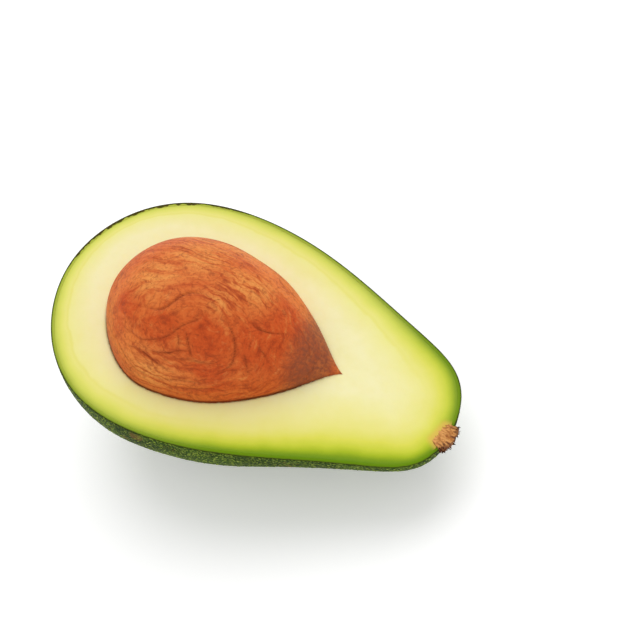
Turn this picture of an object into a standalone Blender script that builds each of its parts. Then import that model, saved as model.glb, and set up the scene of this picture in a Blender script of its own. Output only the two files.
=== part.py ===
"""Half an avocado, cut lengthwise, lying on its back with its stone in place.

Every piece is modelled in the fruit's own frame: the cut face is the plane z = 0, +X runs along
the fruit to its stem end, and the flesh lies below. An empty then lays the half down at its natural
tilt, so that the middle of the small flat spot that it rests on is the world origin.
"""
import math

import bmesh
import bpy
import numpy as np
from mathutils import Matrix, Vector

# The cut face: its length, and its half width at places along the fruit
FRUIT_LENGTH = 0.106
FRUIT_HALF_WIDTHS = (
    (-0.050, 0.0137),
    (-0.040, 0.0266),
    (-0.017, 0.0337),
    (0.008, 0.0297),
    (0.030, 0.0217),
    (0.047, 0.0142),
)
FRUIT_SHIFT = 0.0003
FRUIT_BEND = 0.0018

# How far the middle of each cross-section lies above the cut, half way along and towards the stem
MIDDLE_RISE = 0.0015
NECK_RISE = 0.0040
TIP_DROP = 0.0004
TIP_SHARPNESS = 20

# The skin, and the gap that separate pieces keep
SKIN_THICKNESS = 0.0009
GAP = 0.0003

# Gentle natural unevenness: its height, and its waves in radians per metre
SKIN_UNEVENNESS = 0.00035
SKIN_WAVES = 190
SEED_UNEVENNESS = 0.0002
SEED_WAVES = 230

# The stone: its length, its radius at places along it, and where it sits in the cut face
SEED_LENGTH = 0.062
SEED_RADII = (
    (-0.028, 0.0098),
    (-0.020, 0.0183),
    (-0.008, 0.0214),
    (0.006, 0.0185),
    (0.021, 0.0089),
)
SEED_CENTRE = (-0.0080, 0.0004, 0.0)
SEED_TURN = math.radians(5.0)
SEED_BEND = 0.0019
SEED_HEIGHT_RATIO = 0.86

# The stub of the stem, half of it cut away with the rest: the middles of its two ends, their radii
STUB_INNER_END = (0.0487, -0.0032)
STUB_OUTER_END = (0.0545, -0.0048)
STUB_INNER_RADIUS = 0.0022
STUB_OUTER_RADIUS = 0.0043
STUB_ROUGHNESS = 0.00025

# The half lies with its stem end down, on a flat spot pressed this deep
REST_TILT = math.radians(12.5)
FLAT_DEPTH = 0.0007

# How finely each piece is divided: along it and around it
SKIN_STEPS = (38, 52)
SEED_STEPS = (26, 36)
STUB_STEPS = (5, 20)

# The knife that halves the fruit
KNIFE_SIZE = (0.2, 0.14, 0.1)

COLOURS = {
    "skin": (0.075, 0.125, 0.020),
    "flesh": (0.82, 0.80, 0.38),
    "seed": (0.42, 0.15, 0.055),
    "stem_stub": (0.42, 0.25, 0.09),
}
ROUGHNESS = {
    "skin": 0.45,
    "flesh": 0.40,
    "seed": 0.42,
    "stem_stub": 0.85,
}


# Smooth outlines, closed and round at both ends

def outline_terms(length, stations):
    """Terms of a smooth outline through the stations (place along, half width)."""
    cosines = np.array([-2 * place / length for place, half_width in stations])
    widths = np.array([half_width for place, half_width in stations])
    powers = np.stack([cosines ** k for k in range(len(stations))], axis=1)
    return np.linalg.solve(powers, widths / np.sqrt(1 - cosines ** 2))


def outline_width(terms, angle):
    """Half width at an angle that runs from 0 at the -X end to pi at the +X end."""
    cosine = math.cos(angle)
    total = sum(term * cosine ** k for k, term in enumerate(terms))
    return math.sin(angle) * total


def swell(x, y, waves):
    """Smooth uneven value between -1 and 1."""
    crossed = math.sin(waves * x + 0.7) * math.sin(0.9 * waves * y - 0.5)
    slanted = math.sin(waves * (1.4 * x - 1.1 * y) + 1.9)
    return (crossed + slanted) / 2


FRUIT_TERMS = outline_terms(FRUIT_LENGTH, FRUIT_HALF_WIDTHS)
SEED_TERMS = outline_terms(SEED_LENGTH, SEED_RADII)


# The fruit's outside

def fruit_point(along, turn):
    """Point of the skin. turn is 0 on the cut at +Y, pi/2 underneath and pi on the cut at -Y."""
    cosine = math.cos(along)
    half_width = outline_width(FRUIT_TERMS, along)
    rise = (MIDDLE_RISE - NECK_RISE * cosine) * math.sin(along)
    radius = math.hypot(half_width, rise)
    lean = math.atan2(rise, half_width)
    if turn <= math.pi:
        angle = -lean - turn / math.pi * (math.pi - 2 * lean)
    else:
        angle = -(math.pi - lean) - (turn - math.pi) / math.pi * (math.pi + 2 * lean)
    x = -FRUIT_LENGTH / 2 * cosine
    middle = FRUIT_SHIFT + FRUIT_BEND * cosine ** 3
    rise -= TIP_DROP * cosine ** TIP_SHARPNESS
    if turn < math.pi:
        uneven = swell(x, middle + radius * math.cos(angle), SKIN_WAVES)
        radius += SKIN_UNEVENNESS * uneven * math.sin(turn) * math.sin(along)
    return Vector((x, middle + radius * math.cos(angle), rise + radius * math.sin(angle)))


def floor_up():
    """The floor's normal, in the fruit's frame."""
    return Vector((-math.sin(REST_TILT), 0.0, math.cos(REST_TILT)))


def rest_point():
    """Middle of the flat spot, in the fruit's frame."""
    up = floor_up()
    keel = [fruit_point(math.pi * k / 720, math.pi / 2) for k in range(1, 720)]
    lowest = min(keel, key=lambda point: point.dot(up))
    return lowest + FLAT_DEPTH * up


def flatten(mesh, rest, up):
    """Press what would reach below the floor up onto it."""
    for vertex in mesh.verts:
        height = (vertex.co - rest).dot(up)
        if height < 0:
            vertex.co -= height * up


# Pieces as closed meshes

def shaped_sphere(steps, place):
    """A UV sphere whose points are moved to place(along, turn)."""
    rings, sides = steps
    mesh = bmesh.new()
    bmesh.ops.create_uvsphere(mesh, u_segments=sides, v_segments=rings, radius=1)
    half_side = math.pi / sides
    for vertex in mesh.verts:
        along = math.acos(max(-1.0, min(1.0, -vertex.co.z)))
        turn = (math.atan2(vertex.co.y, vertex.co.x) + half_side) % (2 * math.pi)
        vertex.co = place(along, turn)
    face_outwards(mesh)
    return mesh


def face_outwards(mesh):
    mesh.normal_update()
    bmesh.ops.recalc_face_normals(mesh, faces=mesh.faces)


def move_surface(mesh, distance):
    """Move every point along its normal: outwards, or inwards where distance is negative."""
    mesh.normal_update()
    moves = [(vertex, vertex.normal * distance) for vertex in mesh.verts]
    for vertex, move in moves:
        vertex.co += move


def seed_point(along, turn):
    """Point of the stone, in the fruit's frame."""
    cosine = math.cos(along)
    radius = outline_width(SEED_TERMS, along)
    x = -SEED_LENGTH / 2 * cosine
    radius += SEED_UNEVENNESS * swell(x, radius * math.cos(turn), SEED_WAVES) * math.sin(along) ** 2
    y = SEED_BEND * cosine ** 3 + radius * math.cos(turn)
    z = SEED_HEIGHT_RATIO * radius * math.sin(turn)
    return Matrix.Rotation(SEED_TURN, 3, "Z") @ Vector((x, y, z)) + Vector(SEED_CENTRE)


def stub_mesh():
    """The woody stub: a short lobed peg that widens outwards."""
    rings, sides = STUB_STEPS
    inner = Vector((*STUB_INNER_END, -TIP_DROP))
    outer = Vector((*STUB_OUTER_END, -TIP_DROP))
    length = (outer - inner).length
    turned = Matrix.Rotation(math.atan2(outer.y - inner.y, outer.x - inner.x), 3, "Z")
    mesh = bmesh.new()
    bmesh.ops.create_cone(
        mesh,
        cap_ends=True,
        cap_tris=True,
        segments=sides,
        radius1=STUB_INNER_RADIUS,
        radius2=STUB_OUTER_RADIUS,
        depth=length,
    )
    side_edges = [edge for edge in mesh.edges if abs(edge.verts[0].co.z - edge.verts[1].co.z) > length / 2]
    bmesh.ops.subdivide_edges(mesh, edges=side_edges, cuts=rings - 1, use_grid_fill=True)
    half_side = math.pi / sides
    for vertex in mesh.verts:
        across = math.hypot(vertex.co.x, vertex.co.y)
        turn = math.atan2(vertex.co.y, vertex.co.x) + half_side
        share = vertex.co.z / length + 0.5
        lobes = STUB_ROUGHNESS * (math.sin(3 * turn + 0.8) + 0.6 * math.sin(7 * turn))
        ragged = STUB_ROUGHNESS * math.sin(5 * turn + 1.1) * max(0.0, share) ** 4
        reach = across + lobes * across / STUB_OUTER_RADIUS
        along = share * length + ragged * across / STUB_OUTER_RADIUS
        vertex.co = turned @ Vector((along, reach * math.cos(turn), reach * math.sin(turn))) + inner
    face_outwards(mesh)
    return mesh


# Objects

def clear_scene():
    for found in list(bpy.data.objects):
        bpy.data.objects.remove(found, do_unlink=True)


def new_collection(name):
    collection = bpy.data.collections.new(name)
    bpy.context.scene.collection.children.link(collection)
    return collection


def new_material(name):
    material = bpy.data.materials.new(name)
    material.use_nodes = True
    shader = material.node_tree.nodes["Principled BSDF"]
    shader.inputs["Base Color"].default_value = (*COLOURS[name], 1.0)
    shader.inputs["Roughness"].default_value = ROUGHNESS[name]
    shader.inputs["Metallic"].default_value = 0.0
    return material


def new_object(name, mesh, collection, parent):
    """Object from a bmesh, smooth shaded and parented."""
    data = bpy.data.meshes.new(name)
    mesh.to_mesh(data)
    mesh.free()
    data.shade_smooth()
    made = bpy.data.objects.new(name, data)
    made.parent = parent
    collection.objects.link(made)
    return made


def as_cutter(made):
    made.hide_render = True
    made.display_type = "WIRE"
    return made


def cut(made, cutter):
    """Take the cutter's shape out of an object."""
    modifier = made.modifiers.new("cut " + cutter.name, "BOOLEAN")
    modifier.operation = "DIFFERENCE"
    modifier.solver = "EXACT"
    modifier.object = cutter


def make_knife(cutters, fruit):
    """Box above the cut face, which takes the upper half away."""
    mesh = bmesh.new()
    bmesh.ops.create_cube(mesh, size=1)
    for vertex in mesh.verts:
        vertex.co = Vector(
            (
                vertex.co.x * KNIFE_SIZE[0],
                vertex.co.y * KNIFE_SIZE[1],
                (vertex.co.z + 0.5) * KNIFE_SIZE[2],
            )
        )
    return as_cutter(new_object("knife", mesh, cutters, fruit))


def make_seed_hollow(cutters, fruit):
    """Room for the stone, a gap wider than the stone itself."""
    mesh = shaped_sphere(SEED_STEPS, seed_point)
    move_surface(mesh, GAP)
    return as_cutter(new_object("seed_hollow", mesh, cutters, fruit))


def make_stub_socket(cutters, fruit):
    """Room for the stub of the stem, a gap wider than the stub itself."""
    mesh = stub_mesh()
    move_surface(mesh, GAP)
    return as_cutter(new_object("stub_socket", mesh, cutters, fruit))


def make_skin(parts, fruit, knife, stub_socket, rest, up):
    """Thin leathery shell, cut level with the flesh."""
    mesh = shaped_sphere(SKIN_STEPS, fruit_point)
    flatten(mesh, rest, up)
    skin = new_object("skin", mesh, parts, fruit)
    skin.data.materials.append(new_material("skin"))
    shell = skin.modifiers.new("shell", "SOLIDIFY")
    shell.thickness = SKIN_THICKNESS
    shell.offset = -1
    cut(skin, knife)
    cut(skin, stub_socket)


def make_flesh(parts, fruit, knife, seed_hollow, stub_socket, rest, up):
    """Solid flesh inside the skin, with hollows for the stone and the stub."""
    mesh = shaped_sphere(SKIN_STEPS, fruit_point)
    flatten(mesh, rest, up)
    move_surface(mesh, -(SKIN_THICKNESS + GAP))
    flesh = new_object("flesh", mesh, parts, fruit)
    flesh.data.materials.append(new_material("flesh"))
    cut(flesh, knife)
    cut(flesh, seed_hollow)
    cut(flesh, stub_socket)


def make_seed(parts, fruit):
    """Whole stone, half sunk in the flesh."""
    seed = new_object("seed", shaped_sphere(SEED_STEPS, seed_point), parts, fruit)
    seed.data.materials.append(new_material("seed"))


def make_stem_stub(parts, fruit, knife):
    """Stub of the stem, halved level with the flesh."""
    stub = new_object("stem_stub", stub_mesh(), parts, fruit)
    stub.data.materials.append(new_material("stem_stub"))
    cut(stub, knife)


def main():
    clear_scene()
    parts = new_collection("avocado half")
    cutters = new_collection("cutters")

    up = floor_up()
    rest = rest_point()
    fruit = bpy.data.objects.new("fruit", None)
    fruit.rotation_euler = (0.0, REST_TILT, 0.0)
    fruit.location = -(Matrix.Rotation(REST_TILT, 3, "Y") @ rest)
    parts.objects.link(fruit)

    knife = make_knife(cutters, fruit)
    seed_hollow = make_seed_hollow(cutters, fruit)
    stub_socket = make_stub_socket(cutters, fruit)
    make_skin(parts, fruit, knife, stub_socket, rest, up)
    make_flesh(parts, fruit, knife, seed_hollow, stub_socket, rest, up)
    make_seed(parts, fruit)
    make_stem_stub(parts, fruit, knife)
    bpy.context.view_layer.update()


main()
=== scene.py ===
import math

import bmesh
import bpy
import numpy as np
from bpy.props import FloatProperty, FloatVectorProperty, IntProperty, PointerProperty
from mathutils import Matrix, Vector, noise


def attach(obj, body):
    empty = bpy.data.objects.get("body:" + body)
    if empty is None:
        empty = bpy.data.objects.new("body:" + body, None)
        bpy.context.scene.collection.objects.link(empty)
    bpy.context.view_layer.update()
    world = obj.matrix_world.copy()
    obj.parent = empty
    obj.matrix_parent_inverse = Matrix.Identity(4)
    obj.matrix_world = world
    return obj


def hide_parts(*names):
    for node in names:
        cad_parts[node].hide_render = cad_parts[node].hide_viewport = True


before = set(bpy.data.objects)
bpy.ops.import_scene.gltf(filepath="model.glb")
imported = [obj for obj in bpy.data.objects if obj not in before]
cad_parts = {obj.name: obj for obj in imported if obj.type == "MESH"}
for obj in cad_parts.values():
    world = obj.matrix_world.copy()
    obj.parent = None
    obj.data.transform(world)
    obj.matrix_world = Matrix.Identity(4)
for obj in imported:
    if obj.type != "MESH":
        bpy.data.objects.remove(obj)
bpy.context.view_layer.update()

bl_info = {
    "name": "Avocado Half",
    "version": (1, 0, 0),
    "blender": (4, 5, 0),
    "location": "View3D > Sidebar > Avocado",
    "description": "Skin, flesh, stone and stem stub of an avocado half, and its stage",
    "category": "Add Mesh",
}

# Sizes that follow the frame, in metres, in the fruit's own frame: the cut face is z = 0, +X runs
# along the fruit to its stem end, and the flesh lies below
FRUIT_LENGTH = 0.106
FRUIT_HALF_WIDTHS = (
    (-0.050, 0.0137),
    (-0.040, 0.0266),
    (-0.017, 0.0337),
    (0.008, 0.0297),
    (0.030, 0.0217),
    (0.047, 0.0142),
)
FRUIT_SHIFT = 0.0003
FRUIT_BEND = 0.0018
MIDDLE_RISE = 0.0015
NECK_RISE = 0.0040
TIP_DROP = 0.0004
TIP_SHARPNESS = 20
SKIN_THICKNESS = 0.0009
SKIN_UNEVENNESS = 0.00035
SKIN_WAVES = 190
SEED_LENGTH = 0.062
SEED_RADII = (
    (-0.028, 0.0098),
    (-0.020, 0.0183),
    (-0.008, 0.0214),
    (0.006, 0.0185),
    (0.021, 0.0089),
)
SEED_CENTRE = (-0.0080, 0.0004, 0.0)
SEED_TURN = math.radians(5.0)
SEED_BEND = 0.0019
SEED_HEIGHT_RATIO = 0.86
SEED_UNEVENNESS = 0.0002
SEED_WAVES = 230
STUB_INNER_END = (0.0487, -0.0032)
STUB_OUTER_END = (0.0545, -0.0048)
STUB_INNER_RADIUS = 0.0022
STUB_OUTER_RADIUS = 0.0043
REST_TILT = math.radians(12.5)
FLAT_DEPTH = 0.0007

# How finely each piece is divided
SKIN_SQUARES = 160
SKIN_INNER_SQUARES = 40
SEED_SQUARES = 112
STUB_SQUARES = 36
FLESH_RAYS = 520
FLESH_RAY_BIAS = 0.45
FLESH_RINGS = 60
FLESH_BOWL_RINGS = 18

# The visual skin keeps this much under the frame's surface, which its raised specks fill
SPECK_ROOM = 0.00007
SPECKS_PER_SQUARE_METRE = 420000.0

# The smallest speck against the largest, and how wide a speck is against its length
LEAST_SPECK = 0.45
SPECK_WIDTH = 0.55

# Steps of the skin's cut edge: how far in each lies and how much of the rim's roughness it takes
RIM_PROFILE = ((0.00008, 1.0), (0.00022, 0.8), (0.0004, 0.3), (0.00065, 0.0), (SKIN_THICKNESS, -0.1))

# Splinters of bark: length, the smallest against the largest, and the range of their turns
SPLINTER_LENGTH = 0.0010
LEAST_SPLINTER = 0.4
LEAST_TILT = (-1.0, -1.0, 0.0)
MOST_TILT = (1.0, 1.0, 6.28)

# Room between the flesh and what lies against it, so that no two faces share a place
FLESH_ROOM = 0.00003
HOLLOW_ROOM = 0.00025

# At the cut the flesh stands off the stone's -Y side by the gap, and covers it elsewhere by the overlap
STONE_GAP = 0.0002
STONE_OVERLAP = 0.0001

# Long creases of the stone, each a route of (place along it in mm, turn round it in degrees):
# 0 is the +Y side, 90 the top and 180 the -Y side
CREASES = (
    ((-19, 134), (-15, 137), (-12, 135), (-8, 129), (-5, 119), (-2, 112), (-1, 105)),
    ((-17, 116), (-12, 114), (-10, 110), (-8, 102), (-6, 97), (-3, 95)),
    ((-6, 124), (-5, 130), (-5, 137)),
    ((-4, 122), (-3, 128), (-2, 134), (-1, 140)),
    ((-13, 143), (-10, 142), (-7, 140), (-4, 136), (-2, 135)),
    ((-8, 146), (-4, 142), (-1, 141), (3, 141), (5, 138), (6, 135)),
    ((3, 104), (5, 110), (7, 118), (8, 128), (8, 138), (7, 143), (5, 147)),
    ((-13, 159), (-8, 162), (-3, 159), (2, 158), (6, 155)),
    ((-6, 169), (-1, 166), (4, 163), (8, 166)),
    ((-18, 147), (-14, 145), (-10, 149), (-6, 154)),
    ((-23, 147), (-20, 154), (-16, 161), (-11, 165)),
    ((8, 100), (11, 104), (14, 103), (17, 97)),
    ((10, 127), (11, 136), (12, 148)),
    ((12, 118), (14, 124), (16, 134)),
    ((-12, 38), (-5, 32), (3, 28), (12, 34)),
    ((-24, 30), (-16, 22), (-6, 18), (4, 24), (14, 22)),
    ((-18, 205), (-8, 214), (2, 210), (12, 216)),
    ((-22, 250), (-10, 262), (2, 256), (14, 262)),
    ((-20, 310), (-8, 302), (6, 312), (16, 306)),
)

# How far from a crease its darker colour and its slope can reach
CREASE_REACH = 0.0015

# Where the stone is redder and where it is paler: place along it in mm, turn in degrees, radius in mm
RED_ZONES = (
    (1, 120, 4.5),
    (-21, 118, 3.5),
    (-22, 138, 3),
    (16, 82, 4),
    (13, 117, 5),
    (-10, 123, 3.5),
    (4, 150, 4),
)
PALE_ZONES = (
    (7, 73, 5),
    (3, 76, 5),
    (-9, 63, 8),
    (1, 94, 4),
    (-11, 159, 6),
    (-16, 92, 6),
    (-4, 20, 9),
)

# Middle of the whorl that the wrinkles run round, in the same terms
WHORL = (1, 120)

# The camera in the fruit's own frame, found from the fruit's outline in the 640 x 640 picture
CAMERA_AZIMUTH = math.radians(30)
CAMERA_ELEVATION = math.radians(58)
CAMERA_ROLL = math.radians(-5)
CAMERA_DISTANCE = 0.42958
CAMERA_ASIDE = (0.01587, 0.00588)
CAMERA_LENS = 100

# The stage: where each light comes from and how wide it is in degrees
FLOOR_SIZE = 20.0
KEY_DIRECTION = (-0.22, 0.48, 0.85)
KEY_WIDTH = 60
FILL_DIRECTION = (0.15, -0.85, 0.42)
FILL_WIDTH = 70


def paint(red, green, blue):
    """A colour as it looks on a screen, 0 to 255, as linear values."""
    shares = [value / 255 for value in (red, green, blue)]
    return tuple(s / 12.92 if s <= 0.04045 else ((s + 0.055) / 1.055) ** 2.4 for s in shares)


def colour_property(name, description, red, green, blue):
    return FloatVectorProperty(
        name=name,
        description=description,
        subtype="COLOR",
        size=3,
        min=0.0,
        max=1.0,
        default=paint(red, green, blue),
    )


def strength_property(name, description, default):
    return FloatProperty(name=name, description=description, min=0.0, default=default)


def length_property(name, description, default):
    options = {"unit": "LENGTH", "precision": 5, "min": 0.0, "default": default}
    return FloatProperty(name=name, description=description, **options)


class AvocadoSkinSettings(bpy.types.PropertyGroup):
    pebble_size: length_property("Pebble size", "Distance between the skin's low bumps", 0.0013)
    pebble_height: length_property("Pebble height", "Depth of the valleys between the bumps", 0.00009)
    speck_spacing: length_property("Speck spacing", "Least distance between two raised specks", 0.0010)
    speck_size: length_property("Speck size", "Length of the largest raised speck", 0.00066)
    rim_roughness: length_property("Rim roughness", "How ragged the knife left the skin's edge", 0.00014)
    green: colour_property("Green", "Main colour of the skin", 56, 86, 16)
    # dark also paints shade into the valleys between the pebbles
    dark: colour_property("Dark", "Dark mottles and valleys", 30, 50, 8)
    speck: colour_property("Specks", "Pale flecks and raised specks", 146, 166, 62)
    edge: colour_property("Edge", "Outermost line of the cut skin", 68, 74, 26)


class AvocadoFleshSettings(bpy.types.PropertyGroup):
    waviness: length_property("Waviness", "How uneven the cut face is", 0.00005)
    lip: length_property("Lip", "How far the edge by the stone is rounded down", 0.00022)
    cream: colour_property("Cream", "Flesh round the stone", 252, 245, 190)
    yellow: colour_property("Yellow", "Flesh at the end of the green band", 232, 232, 116)
    lime: colour_property("Lime", "Middle of the green band", 216, 222, 96)
    green: colour_property("Green", "Flesh just inside the skin", 142, 164, 52)


class AvocadoStoneSettings(bpy.types.PropertyGroup):
    crease_depth: length_property("Crease depth", "Depth of the long creases", 0.00032)
    wrinkle_spacing: length_property("Wrinkle spacing", "Distance between two fine wrinkles", 0.0019)
    wrinkle_depth: length_property("Wrinkle depth", "Depth of the fine wrinkles", 0.00006)
    lump_height: length_property("Lump height", "Height of the low lumps", 0.00022)
    orange: colour_property("Orange", "Main colour of the stone", 231, 124, 56)
    red: colour_property("Red", "Redder patches", 208, 82, 32)
    pale: colour_property("Pale", "Lighter patches", 246, 166, 86)
    crease: colour_property("Creases", "Dark lines in the creases", 120, 50, 18)
    tip: colour_property("Tip", "Greyish brown near the pointed end", 142, 78, 54)


class AvocadoStubSettings(bpy.types.PropertyGroup):
    fibre_height: length_property("Fibre height", "Height of the fibres on the cut wood", 0.00014)
    splinters: IntProperty(
        name="Splinters", description="Bits of bark per square mm of the end", default=5, min=0
    )
    wood: colour_property("Wood", "Cut face of the stub", 228, 164, 94)
    bark: colour_property("Bark", "Bark and splinters", 104, 56, 30)


class AvocadoStageSettings(bpy.types.PropertyGroup):
    floor: colour_property("Floor", "Colour of the floor", 252, 252, 252)
    key: strength_property("Key light", "Strength of the soft key light", 1.25)
    fill: strength_property("Fill light", "Strength of the low light from the front", 0.20)
    sky: strength_property("Surrounding light", "Strength of the even light", 0.62)
    glow: strength_property("Floor glow", "Light that comes through the floor", 0.28)


# Shapes that follow the frame

def outline_terms(length, stations):
    """Terms of a smooth outline through the stations (place along, half width)."""
    cosines = np.array([-2 * place / length for place, half_width in stations])
    widths = np.array([half_width for place, half_width in stations])
    powers = np.stack([cosines ** k for k in range(len(stations))], axis=1)
    return np.linalg.solve(powers, widths / np.sqrt(1 - cosines ** 2))


def outline_width(terms, along):
    """Half widths at angles that run from 0 at the -X end to pi at the +X end."""
    cosine = np.cos(along)
    return np.sin(along) * sum(term * cosine ** k for k, term in enumerate(terms))


def swell(x, y, waves):
    """Smooth uneven value between -1 and 1."""
    crossed = np.sin(waves * x + 0.7) * np.sin(0.9 * waves * y - 0.5)
    slanted = np.sin(waves * (1.4 * x - 1.1 * y) + 1.9)
    return (crossed + slanted) / 2


FRUIT_TERMS = outline_terms(FRUIT_LENGTH, FRUIT_HALF_WIDTHS)
SEED_TERMS = outline_terms(SEED_LENGTH, SEED_RADII)


def fruit_section(along):
    """Half width at the cut, height of the middle over the cut, and the middle's place across."""
    cosine = np.cos(along)
    rise = (MIDDLE_RISE - NECK_RISE * cosine) * np.sin(along)
    return outline_width(FRUIT_TERMS, along), rise, FRUIT_SHIFT + FRUIT_BEND * cosine ** 3


def fruit_surface(along, turn):
    """Points of the skin. turn is 0 on the cut at +Y, pi/2 underneath and pi on the cut at -Y."""
    cosine = np.cos(along)
    half_width, rise, middle = fruit_section(along)
    radius = np.hypot(half_width, rise)
    lean = np.arctan2(rise, half_width)
    angle = -lean - turn / math.pi * (math.pi - 2 * lean)
    x = -FRUIT_LENGTH / 2 * cosine
    uneven = swell(x, middle + radius * np.cos(angle), SKIN_WAVES)
    radius = radius + SKIN_UNEVENNESS * uneven * np.sin(turn) * np.sin(along)
    drop = TIP_DROP * cosine ** TIP_SHARPNESS * np.sin(turn)
    return np.stack([x, middle + radius * np.cos(angle), rise - drop + radius * np.sin(angle)], axis=-1)


def seed_surface(along, turn):
    """Points of the stone. turn is 0 at the +Y side, pi/2 on top and pi at the -Y side."""
    cosine = np.cos(along)
    radius = outline_width(SEED_TERMS, along)
    x = -SEED_LENGTH / 2 * cosine
    uneven = swell(x, radius * np.cos(turn), SEED_WAVES)
    radius = radius + SEED_UNEVENNESS * uneven * np.sin(along) ** 2
    y = SEED_BEND * cosine ** 3 + radius * np.cos(turn)
    z = SEED_HEIGHT_RATIO * radius * np.sin(turn)
    turned = np.array(Matrix.Rotation(SEED_TURN, 3, "Z"))
    return np.stack([x, y, z], axis=-1) @ turned.T + np.array(SEED_CENTRE)


def surface_normals(surface, along, turn):
    """Normals of a surface, from small steps to either side, pointing away from its axis."""
    step = 0.004
    along = np.clip(along, 3 * step, math.pi - 3 * step)
    forwards = surface(along + step, turn) - surface(along - step, turn)
    round_it = surface(along, turn + step) - surface(along, turn - step)
    normals = np.cross(forwards, round_it)
    normals /= np.linalg.norm(normals, axis=-1, keepdims=True)
    centre = (surface(along, turn) + surface(along, turn + math.pi)) / 2
    outward = np.sum(normals * (surface(along, turn) - centre), axis=-1, keepdims=True)
    return np.where(outward < 0, -normals, normals)


FLOOR_UP = np.array((-math.sin(REST_TILT), 0.0, math.cos(REST_TILT)))


def rest_point():
    """Middle of the flat spot, in the fruit's frame."""
    along = math.pi * np.arange(1, 720) / 720
    keel = fruit_surface(along, np.full_like(along, math.pi / 2))
    return keel[np.argmin(keel @ FLOOR_UP)] + FLAT_DEPTH * FLOOR_UP


REST_POINT = rest_point()
LAID_DOWN = Matrix.Rotation(REST_TILT, 4, "Y") @ Matrix.Translation(-Vector(REST_POINT))


def above_floor(points):
    return (points - REST_POINT) @ FLOOR_UP


def pressed(points, clearance=0.0, softness=0.00025):
    """The points with what would reach below the floor pressed up onto it, with a soft edge."""
    height = above_floor(points) - clearance
    settled = (height + np.sqrt(height ** 2 + softness ** 2)) / 2
    return points + (settled - height)[:, None] * FLOOR_UP


def noise_at(points):
    """Smooth noise between about -1 and 1 at each point; its blobs are 1 across."""
    return np.array([noise.noise(Vector(point)) for point in points])


def smooth_step(value, low, high):
    share = np.clip((value - low) / (high - low), 0, 1)
    return share * share * (3 - 2 * share)


# Meshes

def coordinates(mesh):
    found = np.empty(len(mesh.vertices) * 3)
    mesh.vertices.foreach_get("co", found)
    return found.reshape(-1, 3)


def set_coordinates(mesh, points):
    mesh.vertices.foreach_set("co", np.asarray(points, float).ravel())
    mesh.update()


def set_values(mesh, **named):
    """Numbers for each point, which materials and Geometry Nodes can read."""
    for name, values in named.items():
        layer = mesh.attributes.new(name, "FLOAT", "POINT")
        layer.data.foreach_set("value", np.asarray(values, np.float32))


def divided_cube(squares):
    """A cube from -1 to 1 with that many squares along each edge."""
    mesh = bmesh.new()
    bmesh.ops.create_cube(mesh, size=2)
    bmesh.ops.subdivide_edges(mesh, edges=mesh.edges, cuts=squares - 1, use_grid_fill=True)
    return mesh


def mesh_data(name, mesh):
    """What an object can hold of a mesh that was being edited."""
    data = bpy.data.meshes.new(name)
    mesh.to_mesh(data)
    mesh.free()
    return data


def ball_mesh(name, squares, lower_half=False, rows_off=0):
    """A ball of even squares, from a cube. Its lower half is open at z = 0, or some rows below."""
    mesh = divided_cube(squares)
    if lower_half:
        row = 2 / squares
        above = [vertex for vertex in mesh.verts if vertex.co.z > row * (0.5 - rows_off)]
        bmesh.ops.delete(mesh, geom=above, context="VERTS")
    data = mesh_data(name, mesh)
    spread = np.tan(coordinates(data) * math.pi / 4)
    set_coordinates(data, spread / np.linalg.norm(spread, axis=1, keepdims=True))
    return data


def ball_angles(data, upwards):
    """The angle along X and the turn round it of each point of a ball."""
    directions = coordinates(data)
    along = np.arccos(np.clip(-directions[:, 0], -1, 1))
    height = directions[:, 2] if upwards else np.abs(directions[:, 2])
    return along, np.arctan2(height, directions[:, 1])


def new_object(name, data):
    made = bpy.data.objects.new(name, data)
    bpy.context.scene.collection.objects.link(made)
    return made


def finish_piece(piece, material, replaced):
    """Lay the piece down on the floor and hand it to the frame."""
    data = piece.data
    data.materials.clear()
    data.materials.append(material)
    data.polygons.foreach_set("material_index", np.zeros(len(data.polygons), int))
    data.transform(LAID_DOWN)
    data.shade_smooth()
    data.validate()
    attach(piece, "root")
    if replaced:
        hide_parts(replaced)


# Node trees

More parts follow.
